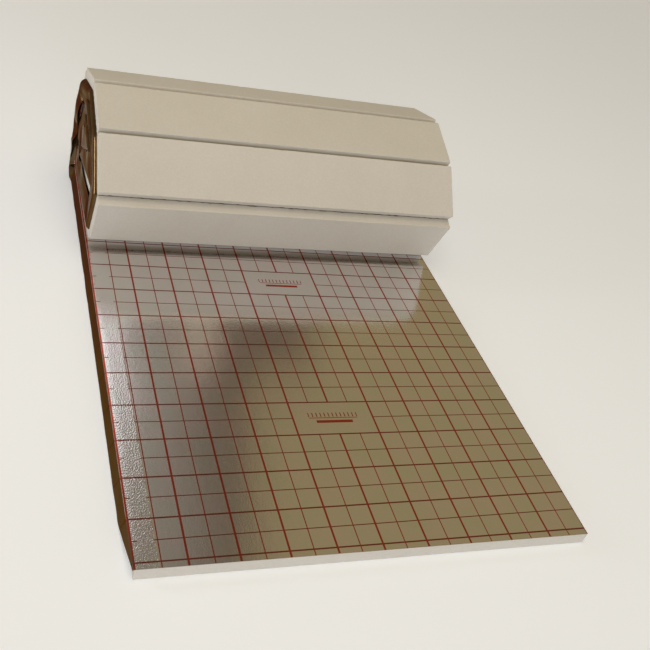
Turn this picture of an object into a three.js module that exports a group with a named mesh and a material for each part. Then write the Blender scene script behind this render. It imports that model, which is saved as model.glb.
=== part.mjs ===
// A roll of foil-faced polystyrene floor insulation, partly unrolled, in millimetres.
// The board is sawn across into slats that are held together only by the foil on top of them. The near
// part lies flat with its foil up, and the rest is rolled up, foil inwards, on the far end of the flat part.
// +X runs across the board to the right, +Y along the board from its cut front edge to the roll, +Z is up.
import * as THREE from "three";

// The board.
const BOARD_WIDTH = 1000;
const BOARD_THICKNESS = 30;
const SLAT_WIDTH = 150;
const SAW_CUT = 0.6;
const FLAT_SLATS = 9; // whole slats that lie flat behind the narrow front piece
const FRONT_PIECE = 65; // the front piece, measured at its middle
const FRONT_SKEW = 8; // how much longer the front piece is at its right end

// The foil and its flap beyond the left ends of the slats.
const FOIL_THICKNESS = 0.4;
const BOND_GAP = 0.3; // between the foil and the slats
const FLAP_WIDTH = 34;
const FLAP_FLOOR_GAP = 0.9; // between the flap's low edge and the floor
const FLAP_TUCK_LENGTH = 95; // at the front the flap hangs closer to the board over this length
const FLAP_TUCK_SHARE = 0.15; // of its full reach, at the front edge
const FLAP_RISE_LENGTH = 70; // behind this last stretch of the flat part the flap stands straight out
const FLAP_CURL = 14; // how far the flap's edge leans inwards on the roll

// The roll. The headings say how far each slat is turned up from +Y, in degrees: those of the outer turn
// are kept, and an inner slat turns further where it must to clear the slats around it.
const OUTER_HEADINGS = [81.1, 112.8, 165.5, 200, 224];
const INNER_HEADINGS = [360, 360, 437, 491, 559, 576, 709, 709, 821, 916, 1054];
const FOLD_HEIGHT = 2.5; // the first fold of the roll, above the flat slats
const ROLL_YAW = 0.7; // degrees that the left end of the roll is turned towards the front edge
const TURN_CLEARANCE = 0.3; // between one turn's foil and the slats of the next turn
const TURN_STEP = 0.25; // degrees
const LARGEST_TURN = 150; // degrees that one fold can take
const CONTACT_TOLERANCE = 1e-6;

const POLYSTYRENE = new THREE.MeshStandardMaterial({ color: 0xd9d5cd, roughness: 0.85, metalness: 0 });
const FOIL = new THREE.MeshStandardMaterial({ color: 0x9a8f7c, roughness: 0.3, metalness: 0.9 });

const UP = new THREE.Vector3(0, 0, 1);
const FOIL_TOP = BOND_GAP + FOIL_THICKNESS;
const TURN_SKIN = FOIL_TOP + TURN_CLEARANCE;
const radians = THREE.MathUtils.degToRad;
const degrees = THREE.MathUtils.radToDeg;

// The section of the roll is worked out in a plane whose x is the board's Y and whose y is Z.
function direction(heading) {
  return new THREE.Vector2(Math.cos(radians(heading)), Math.sin(radians(heading)));
}

// The foil lies on the left of a slat's heading, and the polystyrene on its right.
function outward(heading) {
  const along = direction(heading);
  return new THREE.Vector2(along.y, -along.x);
}

// A slat is held by the fold where it starts, at its foil side, with its width and its heading.
function endOf(slat) {
  return slat.fold.clone().addScaledVector(direction(slat.heading), slat.width);
}

// The corners of a slat's section, with the foil and the clearance on its foil side.
function outlineOf(slat) {
  const out = outward(slat.heading);
  return [slat.fold, endOf(slat)].flatMap((corner) => [
    corner.clone().addScaledVector(out, -TURN_SKIN),
    corner.clone().addScaledVector(out, BOARD_THICKNESS),
  ]);
}

// Two sections are clear of each other where a side of one has the whole other one beyond it.
function areClear(slat, other) {
  const axes = [slat, other].flatMap(({ heading }) => [direction(heading), outward(heading)]);
  return axes.some((axis) => {
    const [a, b] = [slat, other].map((each) => outlineOf(each).map((corner) => corner.dot(axis)));
    const between = Math.max(Math.min(...b) - Math.max(...a), Math.min(...a) - Math.max(...b));
    return between >= -CONTACT_TOLERANCE;
  });
}

// The flat part: the front piece, then whole slats.
function layFlat() {
  const laid = [{ fold: new THREE.Vector2(0, 0), width: FRONT_PIECE, heading: 0 }];
  for (let i = 0; i < FLAT_SLATS; i++) {
    laid.push({ fold: endOf(laid.at(-1)), width: SLAT_WIDTH, heading: 0 });
  }
  return laid;
}

// The outer turn, which ends with the slat that comes down to the flat part and stands on it.
function wrapOuterTurn(flat) {
  const wrapped = [];
  let fold = endOf(flat.at(-1)).setY(FOLD_HEIGHT);
  for (const heading of OUTER_HEADINGS) {
    wrapped.push({ fold, width: SLAT_WIDTH, heading });
    fold = endOf(wrapped.at(-1));
  }
  const drop = fold.y - (TURN_SKIN + BOARD_THICKNESS);
  const steepness = degrees(Math.asin(Math.min(1, drop / SLAT_WIDTH)));
  wrapped.push({ fold, width: SLAT_WIDTH, heading: 360 - steepness });
  return wrapped;
}

// The inner turns: each slat keeps its heading, or turns inwards as far as it must to clear the others.
function windInwards(wound) {
  const all = [...wound];
  for (const heading of INNER_HEADINGS) {
    const last = all.at(-1);
    const others = all.slice(0, -1);
    const next = { fold: endOf(last), width: SLAT_WIDTH, heading: Math.max(heading, last.heading) };
    while (!others.every((other) => areClear(next, other))) {
      next.heading += TURN_STEP;
      if (next.heading > last.heading + LARGEST_TURN) return all;
    }
    all.push(next);
  }
  return all;
}

const flatSlats = layFlat();
const flatLength = endOf(flatSlats.at(-1)).x;
const outerTurn = wrapOuterTurn(flatSlats);
const slats = windInwards([...flatSlats, ...outerTurn]);

// The roll turns as a whole about the right end of its first fold.
const rollPivot = new THREE.Vector3(BOARD_WIDTH, flatLength, 0);

// The cut front edge is skew, so a point of it lies behind its middle at the left, before it at the right.
function skewAt(x) {
  return FRONT_SKEW * (0.5 - x / BOARD_WIDTH);
}

// One slat, cut back at both ends by half a saw cut and extruded through the board's thickness.
function makeSlat(slat, index) {
  const start = SAW_CUT / 2;
  const end = slat.width - SAW_CUT / 2;
  const isFront = index === 0;
  const plan = new THREE.Shape([
    new THREE.Vector2(0, isFront ? skewAt(0) : start),
    new THREE.Vector2(BOARD_WIDTH, isFront ? skewAt(BOARD_WIDTH) : start),
    new THREE.Vector2(BOARD_WIDTH, end),
    new THREE.Vector2(0, end),
  ]);
  const block = new THREE.ExtrudeGeometry(plan, { depth: BOARD_THICKNESS, bevelEnabled: false });
  block.translate(0, 0, -BOARD_THICKNESS);
  const mesh = new THREE.Mesh(block, POLYSTYRENE.clone());
  mesh.name = "slat_" + String(index + 1).padStart(2, "0");
  mesh.rotation.x = radians(slat.heading);
  mesh.position.set(0, slat.fold.x, slat.fold.y);
  return mesh;
}

// The places along the board where the foil has a row of corners, from the front edge to the inner end.
// "droop" is 1 where the flap drops beside the board and 0 where it stands out from the roll.
function foilPlaces() {
  const places = slats.map((slat, i) => ({
    at: slat.fold,
    before: i ? slats[i - 1].heading : 0,
    after: slat.heading,
    droop: i < flatSlats.length ? 1 : 0,
    tuck: i ? 1 : FLAP_TUCK_SHARE,
    rolled: i >= flatSlats.length,
    isFront: i === 0,
  }));
  const last = slats.at(-1);
  const shortened = { ...last, width: last.width - SAW_CUT / 2 };
  const innerEnd = { ...places.at(-1), at: endOf(shortened), before: last.heading };
  const tuckEnd = { ...places[1], at: new THREE.Vector2(FLAP_TUCK_LENGTH, 0) };
  const riseStart = { ...places[1], at: new THREE.Vector2(flatLength - FLAP_RISE_LENGTH, 0) };
  const extras = [tuckEnd, riseStart];
  const flat = [...places.slice(0, flatSlats.length), ...extras].sort((a, b) => a.at.x - b.at.x);
  flat[1].tuck = THREE.MathUtils.lerp(FLAP_TUCK_SHARE, 1, Math.min(1, flat[1].at.x / FLAP_TUCK_LENGTH));
  return [...flat, ...places.slice(flatSlats.length), innerEnd];
}

// One row of the foil's corners at a height above the slats: right edge, left fold and flap edge.
function foilRow(place, lift) {
  const { at, before, after, droop, tuck, rolled, isFront } = place;
  const inward = outward((before + after) / 2).negate();
  const mitre = lift / Math.cos(radians((after - before) / 2));
  const line = at.clone().addScaledVector(inward, mitre);
  const drop = BOARD_THICKNESS + BOND_GAP - FLAP_FLOOR_GAP;
  const droopReach = Math.sqrt(Math.max(0, FLAP_WIDTH ** 2 - drop ** 2)) * tuck + lift;
  const curlReach = Math.sqrt(FLAP_WIDTH ** 2 - FLAP_CURL ** 2);
  const edge = droop ? line.clone().setY(BOND_GAP - drop) : line.clone().addScaledVector(inward, FLAP_CURL);
  const foldX = droop ? -lift : 0;
  const edgeX = droop ? -droopReach : -curlReach;
  const row = [
    new THREE.Vector3(BOARD_WIDTH, line.x, line.y),
    new THREE.Vector3(foldX, line.x, line.y),
    new THREE.Vector3(edgeX, edge.x, edge.y),
  ];
  if (isFront) row.forEach((corner) => (corner.y += skewAt(corner.x)));
  if (rolled) row.forEach((corner) => corner.sub(rollPivot).applyAxisAngle(UP, radians(ROLL_YAW)).add(rollPivot));
  return row;
}

// The foil as one closed sheet: its two faces are the same net of rows at two heights.
function makeFoil() {
  const places = foilPlaces();
  const faces = [FOIL_TOP, BOND_GAP].map((lift) => places.map((place) => foilRow(place, lift)));
  const rows = places.length;
  const columns = faces[0][0].length;
  const corners = faces.flat(2);
  const indexOf = (face, i, j) => (face * rows + i) * columns + j;
  const triangles = [];
  for (let i = 0; i < rows - 1; i++) {
    for (let j = 0; j < columns - 1; j++) {
      const [a, b, c, d] = [[i, j], [i + 1, j], [i, j + 1], [i + 1, j + 1]].map(([r, k]) => indexOf(0, r, k));
      const below = rows * columns;
      triangles.push(a, b, c, b, d, c);
      triangles.push(a + below, c + below, b + below, b + below, c + below, d + below);
    }
  }
  const rim = [
    ...Array.from({ length: rows - 1 }, (_, i) => [i, 0]),
    ...Array.from({ length: columns - 1 }, (_, j) => [rows - 1, j]),
    ...Array.from({ length: rows - 1 }, (_, i) => [rows - 1 - i, columns - 1]),
    ...Array.from({ length: columns - 1 }, (_, j) => [0, columns - 1 - j]),
  ];
  rim.forEach(([i, j], k) => {
    const [nextI, nextJ] = rim[(k + 1) % rim.length];
    const [topHere, topNext] = [indexOf(0, i, j), indexOf(0, nextI, nextJ)];
    const [lowHere, lowNext] = [indexOf(1, i, j), indexOf(1, nextI, nextJ)];
    triangles.push(topNext, topHere, lowHere, topNext, lowHere, lowNext);
  });
  const sheet = new THREE.BufferGeometry().setFromPoints(corners).setIndex(triangles);
  const mesh = new THREE.Mesh(sheet, FOIL);
  mesh.name = "foil_facing";
  return mesh;
}

const flatPart = new THREE.Group();
flatPart.add(...flatSlats.map(makeSlat));

// The rolled slats are placed from the pivot, about which their group turns.
const rolledPart = new THREE.Group();
rolledPart.position.copy(rollPivot);
rolledPart.rotation.z = radians(ROLL_YAW);
const rolledMeshes = slats.slice(flatSlats.length).map((slat, i) => makeSlat(slat, flatSlats.length + i));
rolledMeshes.forEach((mesh) => mesh.position.sub(rollPivot));
rolledPart.add(...rolledMeshes);

// The origin is at the middle of the board's box, on the floor.
const board = new THREE.Group();
board.add(flatPart, rolledPart, makeFoil());
board.updateMatrixWorld(true);
const bounds = new THREE.Box3().setFromObject(board, true);
const middle = bounds.getCenter(new THREE.Vector3());
board.position.set(-middle.x, -middle.y, -bounds.min.z);

const group = new THREE.Group();
group.add(board);

export default group;
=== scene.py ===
import math

import bpy
import numpy as np
from mathutils import Matrix, Vector, noise

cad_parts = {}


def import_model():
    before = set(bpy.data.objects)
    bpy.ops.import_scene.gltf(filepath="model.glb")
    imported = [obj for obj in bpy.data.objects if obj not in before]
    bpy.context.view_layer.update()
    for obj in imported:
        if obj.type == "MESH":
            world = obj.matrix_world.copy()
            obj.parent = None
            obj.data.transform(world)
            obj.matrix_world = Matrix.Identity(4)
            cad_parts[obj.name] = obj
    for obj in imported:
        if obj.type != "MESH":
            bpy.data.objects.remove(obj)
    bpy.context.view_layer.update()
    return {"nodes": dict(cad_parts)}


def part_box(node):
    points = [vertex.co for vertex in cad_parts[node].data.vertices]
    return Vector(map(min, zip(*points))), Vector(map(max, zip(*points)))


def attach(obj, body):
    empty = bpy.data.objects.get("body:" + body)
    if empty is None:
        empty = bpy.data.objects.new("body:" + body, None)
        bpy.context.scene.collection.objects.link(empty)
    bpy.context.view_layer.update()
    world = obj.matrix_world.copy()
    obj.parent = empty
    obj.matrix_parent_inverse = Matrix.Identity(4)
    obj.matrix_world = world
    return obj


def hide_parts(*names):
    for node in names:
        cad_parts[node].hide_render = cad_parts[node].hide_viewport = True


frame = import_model()

# A foil-faced polystyrene insulation board, laid flat at the front and rolled up at the back.
# Lengths are in metres. The slats and the foil follow the solids of the frame.

MM = 0.001

# The camera, as fitted to the printed grid. Pan is turned from +Y towards +X, tilt is downwards.
CAMERA_PLACE = (-0.7789, -1.6435, 1.3826)
CAMERA_PAN = 28.4
CAMERA_TILT = 36.46
CAMERA_ROLL = 19.07
CAMERA_LENS = 48.3

# The polystyrene slats.
SLAT_COUNT = 27
FLAT_SLATS = 10
FACING_SLATS = (13, 14, 15, 16)  # the outer slats that the camera sees, with a finer mesh
EDGE_ROUND = 0.9 * MM
FINE_STEP = 4.5 * MM
COARSE_STEP = 9 * MM
CHIP_DEPTH = 1.3 * MM
WIRE_WAVE = 0.45 * MM  # height of the waves that the hot wire left
BEADS_PER_METRE = 240
FOAM_DARK = (0.655, 0.62, 0.555)
FOAM_LIGHT = (0.73, 0.70, 0.65)
# colour of the painted shade in the grooves between the beads
SEAM_SHADE_COLOUR = (0.52, 0.48, 0.42)

# The foil.
FOIL_LIFT = 0.7 * MM  # its top above the slats
FOIL_THICKNESS = 0.3 * MM
FOIL_COLUMNS = 60
ROLL_START = 1.415  # where the roll begins, measured along the foil from the front edge
FLAP_WIDTH = 34 * MM
FLAP_WIDTH_ROLL = 66 * MM  # on the roll it reaches well over the ends of the slats
FLAP_COLUMNS = 22
FOLD_COLUMNS = 4  # how many of them still have the look of the facing, round the fold
FLAP_REACH = 30 * MM  # the furthest that the flap stands out from the slats' ends
FLAP_TURN = 27 * MM  # width over which the flap on the roll turns from straight out to inwards
FLAP_HANG = -70  # degrees that the flap turns down beside the flat part
FLAP_CURL = 97  # degrees that it turns on the roll, towards the roll's middle
FLAP_TAPER = 0.135  # length over which the flap narrows to the front corner
FLAP_BEND = 3.5 * MM  # width of the round bend beside the flat part
FLAP_FLOOR_GAP = 1.2 * MM  # between its lowest edge and the floor

# Stretches along the foil over which the flap changes, each as its start and its end.
FLAP_RISES = (ROLL_START - 0.07, ROLL_START + 0.12)  # from hanging to curled
FLAP_WIDENS = (ROLL_START, ROLL_START + 0.15)  # its turn grows wide, up the roll's back
FLAP_TIGHTENS = (ROLL_START + 0.27, ROLL_START + 0.45)  # its turn grows tight again, over the roll's top
FLAP_DRAWS_IN = (ROLL_START - 0.2, ROLL_START - 0.02)  # its reach shrinks before the roll
FLAP_LETS_OUT = (ROLL_START + 0.03, ROLL_START + 0.15)  # its reach grows again, up the roll's back
# painted shade: over this stretch the film goes from its colour beside the flat part to its colour on the
# roll
FILM_PAINTED_SHADE_STRETCH = (ROLL_START - 0.15, ROLL_START + 0.1)  # from the film near the floor to that on the roll

ROW_STEP_FLAT = 9 * MM
ROW_STEP_ROLL = 5 * MM
ROW_STEP_INNER = 12 * MM

# The printed grid, measured along the foil from the front edge and across it from the left fold.
GRID_START = 15 * MM
GRID_PITCH = 100 * MM
THICK_LINE = 4.4 * MM
THIN_LINE = 2.3 * MM
WINDOW_PITCH = 500 * MM
LOOSE_STRIP = 46 * MM  # the stippled strip of foil beside the left fold
FLAP_FILM = (0.11, 0.066, 0.032)  # colour of the film that no board backs
FLAP_FILM_LIGHT = (0.16, 0.112, 0.055)
FLAP_PRINT = (0.11, 0.03, 0.015)  # the print where it shows through that film
FLAP_EDGE_TINT = (0.37, 0.27, 0.19)  # colour of its mirroring at a flat angle
# painted shade: the same film is given its own colour beside the flat part, for the light it gets close
# over the floor
LOW_FILM_PAINTED_SHADE = (0.135, 0.095, 0.062)  # the same film beside the flat part, close over the floor
FOIL_GREEN = (0.735, 0.745, 0.715)
FOIL_PINK = (0.78, 0.735, 0.735)
LONG_INK = (0.40, 0.058, 0.03)
CROSS_INK = (0.25, 0.06, 0.035)

# The stage. The foil mirrors the walls, the window and the doorway.
PALE_WALL = (0.47, 0.465, 0.46)
OLIVE_WALL = (0.315, 0.25, 0.132)
GREY_WALL = (0.27, 0.235, 0.19)
BEIGE_WALL = (0.66, 0.53, 0.40)
DOORWAY = (0.125, 0.088, 0.062)
WINDOW_LIGHT = (1.25, 1.22, 1.24)
FLOOR_DARK = (0.82, 0.86, 0.93)
FLOOR_LIGHT = (0.84, 0.88, 0.95)
FLOOR_GLOW = 0.24
FLOOR_HALF = 6.0
TOP_POWER = 38
FRONT_POWER = 78
SIDE_POWER = 10


def link(obj):
    bpy.context.scene.collection.objects.link(obj)
    return obj


def mesh_object(name, points, faces):
    mesh = bpy.data.meshes.new(name)
    mesh.from_pydata(points, [], faces)
    mesh.validate()
    mesh.update()
    mesh.shade_smooth()
    mesh.set_sharp_from_angle(angle=math.radians(38))
    return link(bpy.data.objects.new(name, mesh))


# Reading the slats
def end_corners(node, at_right, fold):
    """The four corners of a slat at one end, told apart by the fold of the foil that they follow."""
    mesh = frame["nodes"][node].data
    points = sorted({tuple(round(c, 6) for c in v.co) for v in mesh.vertices}, reverse=at_right)
    four = [Vector(p) for p in points[:4]]
    start = min(four, key=lambda p: (p - fold).length)
    others = sorted((p for p in four if p is not start), key=lambda p: (p - start).length)
    outer_start, end, outer_end = others
    return {"start": start, "end": end, "outer_start": outer_start, "outer_end": outer_end}


def read_slats():
    """Each slat as its left and right end, with the corners named along the board."""
    low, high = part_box("slat_01")
    folds = {False: Vector((low.x, low.y, high.z)), True: Vector((high.x, low.y, high.z))}
    slats = []
    for number in range(1, SLAT_COUNT + 1):
        name = f"slat_{number:02d}"
        slat = {"name": name}
        for side in (False, True):
            slat[side] = end_corners(name, side, folds[side])
            folds[side] = slat[side]["end"]
        slats.append(slat)
    return slats


# Polystyrene
def graded(length, step, edge):
    """Places along a side of a block, close together near both ends so that its edges can be rounded."""
    count = max(2, round((length - 4 * edge) / step))
    inner = [2 * edge + (length - 4 * edge) * i / count for i in range(count + 1)]
    near = [0, 0.3 * edge, edge]
    return near + inner + [length - place for place in reversed(near)]


def block_faces(counts):
    """The surface of a lattice of points as an index of its points and a list of quads."""
    index = {}

    def at(key):
        return index.setdefault(key, len(index))

    quads = []
    for axis in range(3):
        first, second = [a for a in range(3) if a != axis]
        for side in (0, counts[axis] - 1):
            outward = (side > 0) == (axis != 1)
            for i in range(counts[first] - 1):
                for j in range(counts[second] - 1):
                    ring = []
                    for di, dj in ((0, 0), (1, 0), (1, 1), (0, 1)):
                        key = [0, 0, 0]
                        key[axis] = side
                        key[first] = i + di
                        key[second] = j + dj
                        ring.append(at(tuple(key)))
                    quads.append(ring if outward else ring[::-1])
    return index, quads


def rounded(place, size):
    """A point of a block's surface, moved so that the block's edges and corners are round."""
    core = Vector([min(max(p, EDGE_ROUND), s - EDGE_ROUND) for p, s in zip(place, size)])
    off = Vector(place) - core
    return core + off.normalized() * EDGE_ROUND if off.length > 1e-9 else core


def chip(place, size, seed):
    """How far beads have come out of a block's edges here."""
    gaps = sorted(min(p, s - p) for p, s in zip(place, size))
    if gaps[1] > 4 * MM:
        return 0
    spot = Vector(place) * 90 + Vector((seed * 7.3, 0, seed * 3.1))
    amount = max(0, noise.noise(spot) - 0.16) * 3.2
    return CHIP_DEPTH * min(1, amount) * (1 - gaps[1] / (4 * MM))


def wire_waves(across, along, seed):
    """The long slanting waves that the hot wire leaves on a slat's outer face."""
    slant = across + 0.45 * along
    wave = noise.noise(Vector((slant * 38, along * 4, seed)))
    fine = noise.noise(Vector((slant * 95, along * 9, seed + 5)))
    return WIRE_WAVE * (wave + 0.45 * fine)


def make_slat(slat, seed, step, material):
    left, right = slat[False], slat[True]
    width = (right["start"] - left["start"]).length
    run = (left["end"] - left["start"]).length
    depth = (left["outer_start"] - left["start"]).length
    size = (width, run, depth)
    lines = [graded(length, step, EDGE_ROUND) for length in size]
    index, quads = block_faces([len(line) for line in lines])

    def world(place):
        u, v, w = place[0] / width, place[1] / run, place[2] / depth
        foil_side = [end["start"].lerp(end["end"], v) for end in (left, right)]
        outer_side = [end["outer_start"].lerp(end["outer_end"], v) for end in (left, right)]
        return foil_side[0].lerp(foil_side[1], u).lerp(outer_side[0].lerp(outer_side[1], u), w)

    points = []
    middle = Vector(size) / 2
    for i, j, k in index:
        place = (lines[0][i], lines[1][j], lines[2][k])
        spot = rounded(place, size)
        inward = (middle - spot)
        inward.x = math.copysign(min(abs(inward.x), depth), inward.x)
        inward.y = math.copysign(min(abs(inward.y), depth), inward.y)
        spot += inward.normalized() * chip(place, size, seed)
        if k == len(lines[2]) - 1:
            spot.z -= max(0, wire_waves(place[0], place[1], seed) + 0.5 * WIRE_WAVE)
        points.append(world(spot))
    normal_up = (left["start"] - left["outer_start"]).dot((right["start"] - left["start"]).cross(
        left["end"] - left["start"]))
    faces = quads if normal_up < 0 else [quad[::-1] for quad in quads]
    obj = mesh_object(slat["name"] + "_cut", points, faces)
    obj.data.materials.append(material)
    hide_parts(slat["name"])
    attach(obj, "root")
    return obj


# The foil
def foil_rows(slats):
    """Rows along the foil: the distance from the front edge, both ends of the row and its directions."""
    rows = []
    distance = 0.0
    for number, slat in enumerate(slats, 1):
        left, right = slat[False], slat[True]
        along = {side: (slat[side]["end"] - slat[side]["start"]) for side in (False, True)}
        out = (left["outer_start"] - left["start"]).normalized()
        length = (along[False].length + along[True].length) / 2
        step = ROW_STEP_FLAT if number <= FLAT_SLATS else ROW_STEP_ROLL if number <= 16 else ROW_STEP_INNER
        count = max(2, round(length / step))
        for i in range(count + (number == len(slats))):
            share = i / count
            rows.append({
                "distance": distance + share * length,
                "left": left["start"] + along[False] * share,
                "right": right["start"] + along[True] * share,
                "inward": -out,
                "tangent": along[False].normalized(),
                "slat": number,
                "share": share,
            })
        distance += length
    for before, row in zip(rows, rows[1:]):
        if row["share"] == 0:
            turn = before["inward"] + row["inward"]
            half = turn.normalized()
            row["mitre"] = 1 / max(0.35, half.dot(row["inward"]))
            row["inward"] = half
    return rows


def ripple(distance, across):
    """The slow unevenness of the foil on the flat part."""
    slow = noise.noise(Vector((across * 5, distance * 6, 1.7)))
    quick = noise.noise(Vector((across * 16, distance * 13, 4.1)))
    return (0.3 * slow + 0.06 * quick) * MM


def eased(value, low, high):
    """0 below one bound, 1 above the other, with a smooth rise between them."""
    share = min(1, max(0, (value - low) / (high - low)))
    return share * share * (3 - 2 * share)


def round_the_corners(rows, reach=6):
    """Each row's inward direction for the flap, averaged with its neighbours to keep the flap smooth."""
    for i, row in enumerate(rows):
        near = rows[max(0, i - reach):i + reach + 1]
        row["flap_in"] = sum((other["inward"] for other in near), Vector()).normalized()


def flap_bend(row, w):
    """How far the flap has turned from straight out, at a distance from the fold."""
    d = row["distance"]
    on_roll = eased(d, *FLAP_RISES)
    turn = FLAP_TURN * (0.65 + 0.8 * eased(d, *FLAP_WIDENS) - 0.75 * eased(d, *FLAP_TIGHTENS))
    curl = FLAP_CURL + 14 * noise.noise(Vector((d * 8, 3.3, 0)))
    rolled = curl * min(1, w / turn) ** 0.8
    hung = FLAP_HANG * min(1, w / FLAP_BEND)
    return math.radians(hung + (rolled - hung) * on_roll)


def crumple(row, w):
    """Soft puckers across the flap on the roll, which grow towards its edge."""
    d = row["distance"]
    reach = min(1, w / FLAP_WIDTH) ** 1.4
    crease = abs(noise.noise(Vector((d * 30, w * 16, 8.2)))) - 0.2
    broad = noise.noise(Vector((d * 13, w * 9, 2.9)))
    return (3.4 * crease + 3.6 * broad) * reach * MM


def flap_points(row, base):
    """The points of one row of the flap, from the fold beside the slats to its free edge."""
    out = Vector((-1, 0, 0))
    d = row["distance"]
    on_roll = eased(d, *FLAP_RISES)
    width = FLAP_WIDTH * (0.15 + 0.85 * min(1, d / FLAP_TAPER))
    width += (FLAP_WIDTH_ROLL - FLAP_WIDTH) * on_roll
    reach = FLAP_REACH * (1 - 0.47 * eased(d, *FLAP_DRAWS_IN) + 0.4 * eased(d, *FLAP_LETS_OUT))
    points = []
    place = base.copy()
    before = 0
    for j in range(1, FLAP_COLUMNS + 1):
        w = width * (j / FLAP_COLUMNS) ** 1.5
        angle = flap_bend(row, w)
        place = place + (out * math.cos(angle) + row["flap_in"] * math.sin(angle)) * (w - before)
        before = w
        spot = place + row["flap_in"] * crumple(row, w) * on_roll
        flutter = noise.noise(Vector((d * 15, w * 30, 6)))
        spot.x += (1 + on_roll) * MM * flutter * min(1, w / FLAP_WIDTH)
        spot.x = max(spot.x, base.x - reach)
        spot.z = max(spot.z, FLAP_FLOOR_GAP)
        points.append((spot, w))
    return points


def thicken(obj, thickness):
    """Gives a sheet a real thickness below it, with the edges of its rim kept sharp."""
    corners = np.empty(len(obj.data.loops), dtype=np.int32)
    obj.data.loops.foreach_get("edge_index", corners)
    uses = np.bincount(corners, minlength=len(obj.data.edges))
    for edge in np.flatnonzero(uses == 1):
        obj.data.edges[int(edge)].use_edge_sharp = True
    solid = obj.modifiers.new("thickness", "SOLIDIFY")
    solid.thickness = thickness
    solid.offset = -1
    solid.material_offset = 1
    solid.material_offset_rim = 1


def make_foil(slats, printed, film):
    rows = foil_rows(slats)
    round_the_corners(rows)
    points = []
    sheet_places = []
    for row in rows:
        lift = row["inward"] * FOIL_LIFT * row.get("mitre", 1)
        loose = 1 if row["slat"] <= 6 else 0.2
        for i in range(FOIL_COLUMNS + 1):
            share = i / FOIL_COLUMNS
            across = 1 - share
            rise = ripple(row["distance"], across) * loose
            points.append(row["right"].lerp(row["left"], share) + lift + row["inward"] * rise)
            sheet_places.append((across, row["distance"], 0))
        for spot, w in flap_points(row, points[-1]):
            points.append(spot)
            sheet_places.append((-w, row["distance"], 0))
    columns = FOIL_COLUMNS + FLAP_COLUMNS + 1
    faces = []
    on_flap = []
    for i in range(len(rows) - 1):
        for j in range(columns - 1):
            a = i * columns + j
            faces.append((a, a + columns, a + columns + 1, a + 1))
            fold = FOLD_COLUMNS if rows[i]["distance"] < ROLL_START else 0
            on_flap.append(int(j >= FOIL_COLUMNS + fold))
    obj = mesh_object("foil_sheet", points, faces)
    attribute = obj.data.attributes.new("sheet_place", "FLOAT_VECTOR", "POINT")
    attribute.data.foreach_set("vector", np.array(sheet_places, dtype=np.float32).ravel())
    for material in (printed, film, film):
        obj.data.materials.append(material)
    obj.data.polygons.foreach_set("material_index", on_flap)
    thicken(obj, FOIL_THICKNESS)
    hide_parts("foil_facing")
    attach(obj, "root")
    return obj


# Materials
class Nodes:
    """A node tree with short calls for the nodes used here."""

    def __init__(self, tree):
        self.tree = tree

    def node(self, kind, **values):
        made = self.tree.nodes.new(kind)
        for key, value in values.items():
            setattr(made, key, value)
        return made

    def join(self, source, target):
        if isinstance(source, (int, float)):
            target.default_value = source
        else:
            self.tree.links.new(source, target)

    def math(self, operation, first, second=0.0, third=0.0):
        made = self.node("ShaderNodeMath", operation=operation)
        for socket, value in zip(made.inputs, (first, second, third)):
            self.join(value, socket)
        return made.outputs[0]

    def mix(self, share, first, second):
        made = self.node("ShaderNodeMix", data_type="RGBA")
        self.join(share, made.inputs["Factor"])
        for socket, value in ((made.inputs[6], first), (made.inputs[7], second)):
            if isinstance(value, tuple):
                socket.default_value = (*value, 1)
            else:
                self.tree.links.new(value, socket)
        return made.outputs[2]

    def noise(self, where, scale, detail=3.0, roughness=0.55):
        made = self.node("ShaderNodeTexNoise")
        self.join(where, made.inputs["Vector"])
        made.inputs["Scale"].default_value = scale
        made.inputs["Detail"].default_value = detail
        made.inputs["Roughness"].default_value = roughness
        return made.outputs["Fac"]

    def cells(self, where, scale, feature="F1"):
        made = self.node("ShaderNodeTexVoronoi", feature=feature)
        self.join(where, made.inputs["Vector"])
        made.inputs["Scale"].default_value = scale
        return made

    def stretched(self, where, scale, turn=0.0):
        made = self.node("ShaderNodeMapping")
        self.join(where, made.inputs["Vector"])
        made.inputs["Scale"].default_value = scale
        made.inputs["Rotation"].default_value = (0, 0, turn)
        return made.outputs[0]

    def ramp(self, value, low, high):
        """0 below one bound, 1 above the other, with a smooth rise between them."""
        made = self.node("ShaderNodeMapRange", interpolation_type="SMOOTHSTEP")
        for socket, number in (("Value", value), ("From Min", low), ("From Max", high)):
            self.join(number, made.inputs[socket])
        return made.outputs[0]

    def soft_span(self, value, low, high, edge):
        """1 between two bounds, with soft edges."""
        rise = self.ramp(value, low - edge, low + edge)
        fall = self.ramp(value, high - edge, high + edge)
        return self.math("SUBTRACT", rise, fall)

    def bump(self, height, strength, distance, below=None):
        made = self.node("ShaderNodeBump")
        made.inputs["Strength"].default_value = strength
        made.inputs["Distance"].default_value = distance
        self.join(height, made.inputs["Height"])
        if below is not None:
            self.join(below, made.inputs["Normal"])
        return made.outputs[0]

    def between(self, value, low, high):
        """1 where the value lies between two bounds."""
        above = self.math("GREATER_THAN", value, low)
        under = self.math("LESS_THAN", value, high)
        return self.math("MULTIPLY", above, under)


class Shader(Nodes):
    """A material's nodes, which end in its own surface shader."""

    def __init__(self, name):
        self.material = bpy.data.materials.new(name)
        self.material.use_nodes = True
        super().__init__(self.material.node_tree)
        self.surface = self.tree.nodes["Principled BSDF"]


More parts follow.
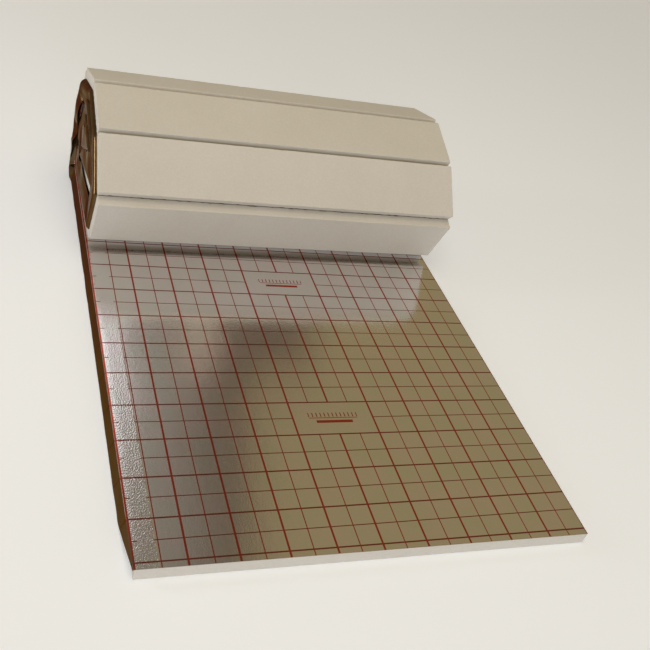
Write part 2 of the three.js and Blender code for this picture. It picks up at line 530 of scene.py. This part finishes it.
def polystyrene():
    s = Shader("polystyrene_beads")
    where = s.node("ShaderNodeTexCoord").outputs["Object"]
    beads = s.cells(where, BEADS_PER_METRE)
    seams = s.cells(where, BEADS_PER_METRE, "DISTANCE_TO_EDGE").outputs["Distance"]
    tint = s.node("ShaderNodeSeparateColor")
    s.join(beads.outputs["Color"], tint.inputs[0])
    cloud = s.noise(where, 7, 4)
    speck = s.math("MULTIPLY", tint.outputs[0], 0.35)
    light = s.math("ADD", s.math("MULTIPLY", cloud, 0.9), speck)
    colour = s.mix(light, FOAM_DARK, FOAM_LIGHT)
    # painted shade: the foam is darkened a little in the seams between the beads
    seam_shade = s.math("LESS_THAN", seams, 0.045)
    colour = s.mix(s.math("MULTIPLY", seam_shade, 0.16), colour, SEAM_SHADE_COLOUR)
    s.join(colour, s.surface.inputs["Base Color"])
    s.surface.inputs["Roughness"].default_value = 0.78
    s.surface.inputs["Specular IOR Level"].default_value = 0.3
    waves = s.noise(s.stretched(where, (1.0, 0.25, 0.25), 0.4), 60, 2)
    rough = s.bump(waves, 0.35, 0.0012)
    dimples = s.math("SMOOTH_MIN", seams, 0.3, 0.2)
    s.join(s.bump(dimples, 0.35, 0.0006, rough), s.surface.inputs["Normal"])
    return s.material


def grid_lines(s, x, along):
    """The red print: lines along the board and lines across it, with bare windows in the grid."""
    y = s.math("SUBTRACT", along, GRID_START)
    half = GRID_PITCH / 2
    from_thick_x = s.math("PINGPONG", x, half)
    from_thick_y = s.math("PINGPONG", y, half)
    from_thin_x = s.math("SUBTRACT", half, from_thick_x)
    from_thin_y = s.math("SUBTRACT", half, from_thick_y)
    on_board = s.math("GREATER_THAN", x, -THICK_LINE)
    long_thick = s.math("MULTIPLY", s.math("LESS_THAN", from_thick_x, THICK_LINE / 2), on_board)
    long_thin = s.math("MULTIPLY", s.math("LESS_THAN", from_thin_x, THIN_LINE / 2), on_board)
    cross_thick = s.math("LESS_THAN", from_thick_y, THICK_LINE * 0.42)
    starts = s.math("MAXIMUM", s.math("GREATER_THAN", x, 0.043), s.between(x, 0, 0.012))
    cross_thin = s.math("MULTIPLY", s.math("LESS_THAN", from_thin_y, THIN_LINE / 2), starts)
    window_y = s.math("FLOORED_MODULO", y, WINDOW_PITCH)
    inside_x = s.between(x, 0.4 + THICK_LINE / 2, 0.6 - THICK_LINE / 2)
    inside_y = s.between(window_y, 0.3 + THICK_LINE / 2, 0.4 - THICK_LINE / 2)
    bare = s.math("SUBTRACT", 1, s.math("MULTIPLY", inside_x, inside_y))
    long_lines = s.math("MULTIPLY", s.math("MAXIMUM", long_thick, long_thin), bare)
    long_lines = s.math("MAXIMUM", long_lines, plain_scale(s, x, window_y))
    cross_lines = s.math("MULTIPLY", s.math("MAXIMUM", cross_thick, cross_thin), bare)
    return long_lines, cross_lines


def plain_scale(s, x, window_y):
    """A plain graduated bar in each window: a line with short ticks over it and a bar under it."""
    long_line = s.math("MULTIPLY", s.between(x, 0.44, 0.56), s.between(window_y, 0.349, 0.351))
    tick_place = s.math("LESS_THAN", s.math("PINGPONG", x, 5 * MM), 1.2 * MM)
    ticks = s.math("MULTIPLY", tick_place, s.between(x, 0.439, 0.561))
    ticks = s.math("MULTIPLY", ticks, s.between(window_y, 0.353, 0.366))
    bar = s.math("MULTIPLY", s.between(x, 0.455, 0.545), s.between(window_y, 0.335, 0.343))
    return s.math("MAXIMUM", long_line, s.math("MAXIMUM", ticks, bar))


def sheet_places(s):
    """The place on the foil: the whole vector, the distance across and the distance along."""
    place = s.node("ShaderNodeAttribute", attribute_name="sheet_place").outputs["Vector"]
    split = s.node("ShaderNodeSeparateXYZ")
    s.join(place, split.inputs[0])
    return place, split.outputs[0], split.outputs[1]


def printed_foil():
    """Metallised film with red print over it."""
    s = Shader("printed_foil")
    where, x, along = sheet_places(s)
    long_lines, cross_lines = grid_lines(s, x, along)
    mottle = s.ramp(s.noise(where, 13, 2), 0.35, 0.65)
    film = s.mix(mottle, FOIL_GREEN, FOIL_PINK)
    colour = s.mix(cross_lines, film, CROSS_INK)
    colour = s.mix(long_lines, colour, LONG_INK)
    ink = s.math("MAXIMUM", long_lines, cross_lines)
    s.join(colour, s.surface.inputs["Base Color"])
    s.join(s.math("MULTIPLY_ADD", ink, -0.2, 1.0), s.surface.inputs["Metallic"])
    streaks = s.noise(s.stretched(where, (1.0, 0.22, 1.0), 0.35), 260, 2)
    s.join(s.math("MULTIPLY_ADD", streaks, 0.08, 0.09), s.surface.inputs["Roughness"])
    beads = s.cells(where, 210).outputs["Distance"]
    fine = s.bump(beads, 0.03, 0.0006)
    wrinkle = s.noise(s.stretched(where, (1.0, 0.35, 1.0)), 60, 3)
    wavy = s.bump(wrinkle, 0.05, 0.0015, fine)
    loose = s.soft_span(x, 2 * MM, LOOSE_STRIP, 1 * MM)
    stipple = s.noise(s.stretched(where, (1.0, 0.8, 1.0)), 320, 1)
    crinkle = s.math("MULTIPLY", stipple, s.math("MULTIPLY_ADD", loose, 0.88, 0.12))
    s.join(s.bump(crinkle, 0.55, 0.0008, wavy), s.surface.inputs["Normal"])
    return s.material


def flap_film():
    """The brown film where no white board backs it, with the print showing faintly through."""
    s = Shader("flap_film")
    where, x, along = sheet_places(s)
    long_lines, cross_lines = grid_lines(s, x, along)
    cloud = s.noise(where, 22, 3)
    film = s.mix(cloud, FLAP_FILM, FLAP_FILM_LIGHT)
    # painted shade: beside the flat part the film takes its own colour, for the light it gets there,
    # instead of the colour it has on the roll
    film = s.mix(s.ramp(along, *FILM_PAINTED_SHADE_STRETCH), LOW_FILM_PAINTED_SHADE, film)
    colour = s.mix(s.math("MULTIPLY", cross_lines, 0.5), film, FLAP_PRINT)
    s.join(colour, s.surface.inputs["Base Color"])
    s.surface.inputs["Metallic"].default_value = 0.95
    s.surface.inputs["Specular Tint"].default_value = (*FLAP_EDGE_TINT, 1)
    s.join(s.math("MULTIPLY_ADD", cloud, 0.12, 0.1), s.surface.inputs["Roughness"])
    creases = s.noise(s.stretched(where, (1.0, 0.4, 1.0)), 90, 3)
    s.join(s.bump(creases, 0.3, 0.0015), s.surface.inputs["Normal"])
    return s.material


def floor_finish():
    s = Shader("pale_floor")
    where = s.node("ShaderNodeTexCoord").outputs["Object"]
    s.join(s.mix(s.noise(where, 3, 2), FLOOR_DARK, FLOOR_LIGHT), s.surface.inputs["Base Color"])
    s.surface.inputs["Roughness"].default_value = 0.7
    s.surface.inputs["Emission Color"].default_value = (0.98, 0.99, 1, 1)
    s.surface.inputs["Emission Strength"].default_value = FLOOR_GLOW
    return s.material


# The stage
def make_floor():
    half = FLOOR_HALF
    points = [(-half, -half, 0), (half, -half, 0), (half, half, 0), (-half, half, 0)]
    obj = mesh_object("studio_floor", points, [(0, 1, 2, 3)])
    obj.data.materials.append(floor_finish())


def add_light(name, place, aim, size, power, colour):
    data = bpy.data.lights.new(name, "AREA")
    data.shape = "RECTANGLE"
    data.size, data.size_y = size
    data.energy = power
    data.color = colour
    obj = link(bpy.data.objects.new(name, data))
    obj.location = place
    obj.rotation_euler = (Vector(aim) - Vector(place)).to_track_quat("-Z", "Y").to_euler()
    obj.visible_camera = False
    return obj


def light_stage():
    add_light("top_panel", (-0.3, -0.9, 3.6), (0, 0, 0), (2.2, 2.2), TOP_POWER, (1.0, 0.94, 0.80))
    add_light("front_panel", (-1.0, -6.0, 1.6), (0, 0, 0.15), (2.6, 1.3), FRONT_POWER, (0.82, 0.86, 1.0))
    add_light("side_panel", (-2.6, 0.4, 0.9), (-0.5, 0.45, 0.2), (0.35, 1.2), SIDE_POWER, (1.0, 0.98, 1.0))
    world = bpy.data.worlds.new("studio_air")
    world.use_nodes = True
    bpy.context.scene.world = world
    background = world.node_tree.nodes["Background"]
    world.node_tree.links.new(air_colour(Nodes(world.node_tree)), background.inputs["Color"])


def air_colour(s):
    """Soft walls: pale low down, olive higher up, with a window and a doorway at the back."""
    direction = s.node("ShaderNodeSeparateXYZ")
    s.join(s.node("ShaderNodeTexCoord").outputs["Generated"], direction.inputs[0])
    x, y, z = direction.outputs
    left_of_edge = s.math("SUBTRACT", 1, s.ramp(x, 0.294, 0.312))
    back = s.mix(left_of_edge, OLIVE_WALL, DOORWAY)
    back = s.mix(s.math("SUBTRACT", 1, s.ramp(x, 0.19, 0.285)), back, GREY_WALL)
    below_lintel = s.math("SUBTRACT", 1, s.ramp(z, 0.63, 0.665))
    lintel = s.math("MULTIPLY", s.soft_span(x, 0.285, 0.37, 0.02), below_lintel)
    back = s.mix(lintel, back, DOORWAY)
    patch = s.math("MULTIPLY", s.soft_span(x, 0.236, 0.26, 0.008), s.soft_span(z, 0.60, 0.662, 0.01))
    back = s.mix(patch, back, BEIGE_WALL)
    window = s.math("MULTIPLY", s.soft_span(x, -0.40, 0.152, 0.005), s.soft_span(z, 0.54, 0.75, 0.03))
    back = s.mix(window, back, WINDOW_LIGHT)
    room = s.mix(s.ramp(y, 0.2, 0.4), OLIVE_WALL, back)
    return s.mix(s.ramp(z, 0.12, 0.45), PALE_WALL, room)


def place_camera():
    data = bpy.data.cameras.new("camera")
    data.lens = CAMERA_LENS
    data.sensor_width = 36
    obj = link(bpy.data.objects.new("camera", data))
    turn = (Matrix.Rotation(-math.radians(CAMERA_PAN), 4, "Z")
            @ Matrix.Rotation(math.radians(90 - CAMERA_TILT), 4, "X")
            @ Matrix.Rotation(math.radians(CAMERA_ROLL), 4, "Z"))
    obj.matrix_world = Matrix.Translation(CAMERA_PLACE) @ turn
    bpy.context.scene.camera = obj


def build():
    place_camera()
    slats = read_slats()
    foam = polystyrene()
    for number, slat in enumerate(slats, 1):
        step = FINE_STEP if number in FACING_SLATS else COARSE_STEP
        make_slat(slat, number, step, foam)
    make_foil(slats, printed_foil(), flap_film())
    make_floor()
    light_stage()
    bpy.context.scene.view_settings.view_transform = "Standard"


build()
